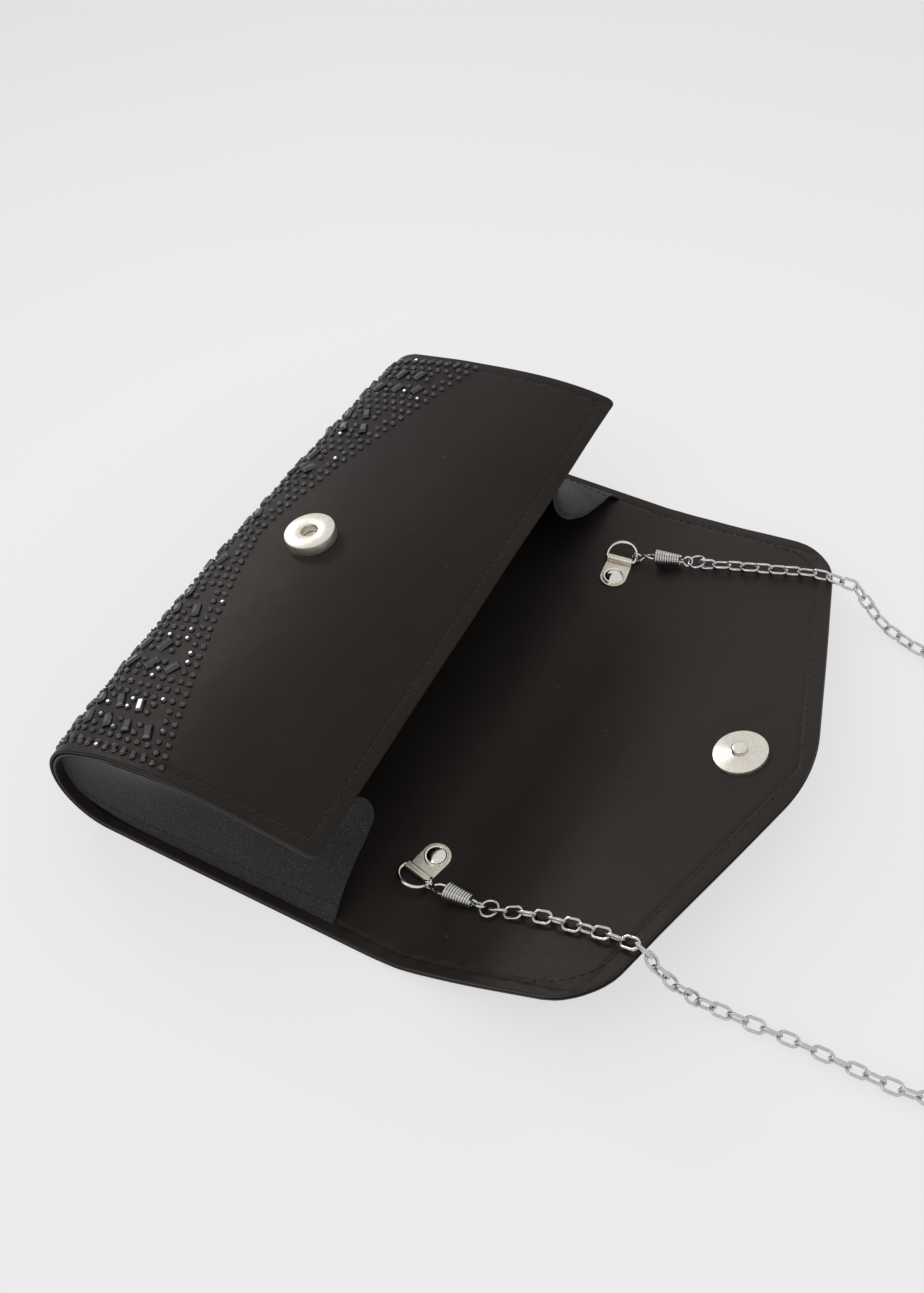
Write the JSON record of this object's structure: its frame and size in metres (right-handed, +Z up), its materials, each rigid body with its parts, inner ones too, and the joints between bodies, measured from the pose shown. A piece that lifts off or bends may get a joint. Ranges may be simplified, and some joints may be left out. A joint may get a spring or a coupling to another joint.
{
  "type": "evening bag",
  "caption": "Boxed envelope clutch in black satin, lying open, with folding gussets, a magnetic snap, a crystal-covered bottom fold and a clip-on chain.",
  "frame": {"origin": "on the table, under the middle of the bag's box measured without its chain", "axes": "+X along the bottom fold, from the gusset on the left to the one on the right; +Y from the open flap's point toward the bottom fold; +Z up, out of the back panel"},
  "size_m": [0.215, 0.3322, 0.0501],
  "materials": {
    "satin": "satin",
    "lining": "satin",
    "board": "matte stiffening board",
    "padding": "soft felted padding",
    "suede": "brushed, faintly glittering",
    "crystal": "black faceted stones",
    "snap_metal": "satin nickel plate",
    "tab_metal": "brushed, pale warm plate",
    "ring_metal": "polished nickel plate",
    "clip_metal": "polished nickel plate",
    "chain": "polished",
    "magnet": "matte"
  },
  "bodies": {
    "back": {"back_satin": "satin", "back_board": "board", "back_lining": "lining", "bottom_satin": "satin", "bottom_padding": "padding", "bottom_lining": "lining", "crystal_band": "crystal", "gusset_left": "suede", "gusset_right": "suede"},
    "front": {"front_satin": "satin", "front_board": "board", "front_lining": "lining", "crystal_front": "crystal", "snap_socket_base": "snap_metal", "snap_socket_magnet": "magnet", "snap_socket_cover": "snap_metal", "snap_socket_washer": "snap_metal"},
    "spine": {"spine_satin": "satin", "spine_board": "board", "spine_lining": "lining", "anchor_tab_left": "tab_metal", "anchor_tab_right": "tab_metal", "rivet_left": "ring_metal", "rivet_right": "ring_metal"},
    "flap": {"flap_satin": "satin", "flap_board": "board", "flap_lining": "lining", "snap_stud": "snap_metal", "snap_stud_washer": "snap_metal", "chain_left": "chain", "chain_right": "chain", "chain_coil": "chain"},
    "ring_left": {"d_ring_left": "ring_metal"},
    "ring_right": {"d_ring_right": "ring_metal"},
    "clip_left": {"clip_frame_left": "clip_metal", "clip_coil_left": "clip_metal", "jump_ring_left": "clip_metal"},
    "clip_right": {"clip_frame_right": "clip_metal", "clip_coil_right": "clip_metal", "jump_ring_right": "clip_metal"},
    "gate_left": {"clip_gate_left": "clip_metal"},
    "gate_right": {"clip_gate_right": "clip_metal"}
  },
  "joints": [
    {"name": "flap_close", "type": "hinge", "parent": "back", "child": "spine", "pos_m": [0, 0.0027, 0.0012], "axis": [-1, 0, 0], "range_deg": [0, 90]},
    {"name": "flap_fold", "type": "hinge", "parent": "spine", "child": "flap", "pos_m": [0, -0.0213, 0.0012], "axis": [-1, 0, 0], "range_deg": [0, 61.5]},
    {"name": "front_close", "type": "hinge", "parent": "back", "child": "front", "pos_m": [0, 0.09534, 0.03759], "axis": [1, 0, 0], "range_deg": [0, 23.5], "deforming": ["gusset_left", "gusset_right"]},
    {"name": "clip_pitch_left", "type": "hinge", "parent": "spine", "child": "clip_left", "pos_m": [-0.07997, -0.01675, 0.00453], "axis": [-1, 0, 0], "range_deg": [0, 61.5]},
    {"name": "clip_pitch_right", "type": "hinge", "parent": "spine", "child": "clip_right", "pos_m": [0.07645, -0.01661, 0.00453], "axis": [-1, 0, 0], "range_deg": [0, 61.5]},
    {"name": "ring_swing_left", "type": "hinge", "parent": "spine", "child": "ring_left", "pos_m": [-0.07682, -0.0119, 0.00378], "axis": [0.2079, 0.9781, 0], "range_deg": [0, 10]},
    {"name": "ring_swing_right", "type": "hinge", "parent": "spine", "child": "ring_right", "pos_m": [0.07374, -0.0115, 0.00378], "axis": [0.1219, -0.9925, 0], "range_deg": [0, 10]},
    {"name": "gate_open_left", "type": "hinge", "parent": "clip_left", "child": "gate_left", "pos_m": [-0.0788, -0.0236, 0.00738], "axis": [-0.9994, 0.0349, 0], "range_deg": [0, 10], "stiffness_Nm_per_rad": 0.002, "springref_deg": -5.73},
    {"name": "gate_open_right", "type": "hinge", "parent": "clip_right", "child": "gate_right", "pos_m": [0.07625, -0.02355, 0.00738], "axis": [-0.9848, -0.1736, 0], "range_deg": [0, 10], "stiffness_Nm_per_rad": 0.002, "springref_deg": -5.73}
  ],
  "couplings": [
    {"joint": "flap_fold", "follows": "flap_close", "ratio": 0.68333},
    {"joint": "front_close", "follows": "flap_close", "ratio": 0.26111},
    {"joint": "clip_pitch_left", "follows": "flap_close", "ratio": 0.68333},
    {"joint": "clip_pitch_right", "follows": "flap_close", "ratio": 0.68333}
  ]
}
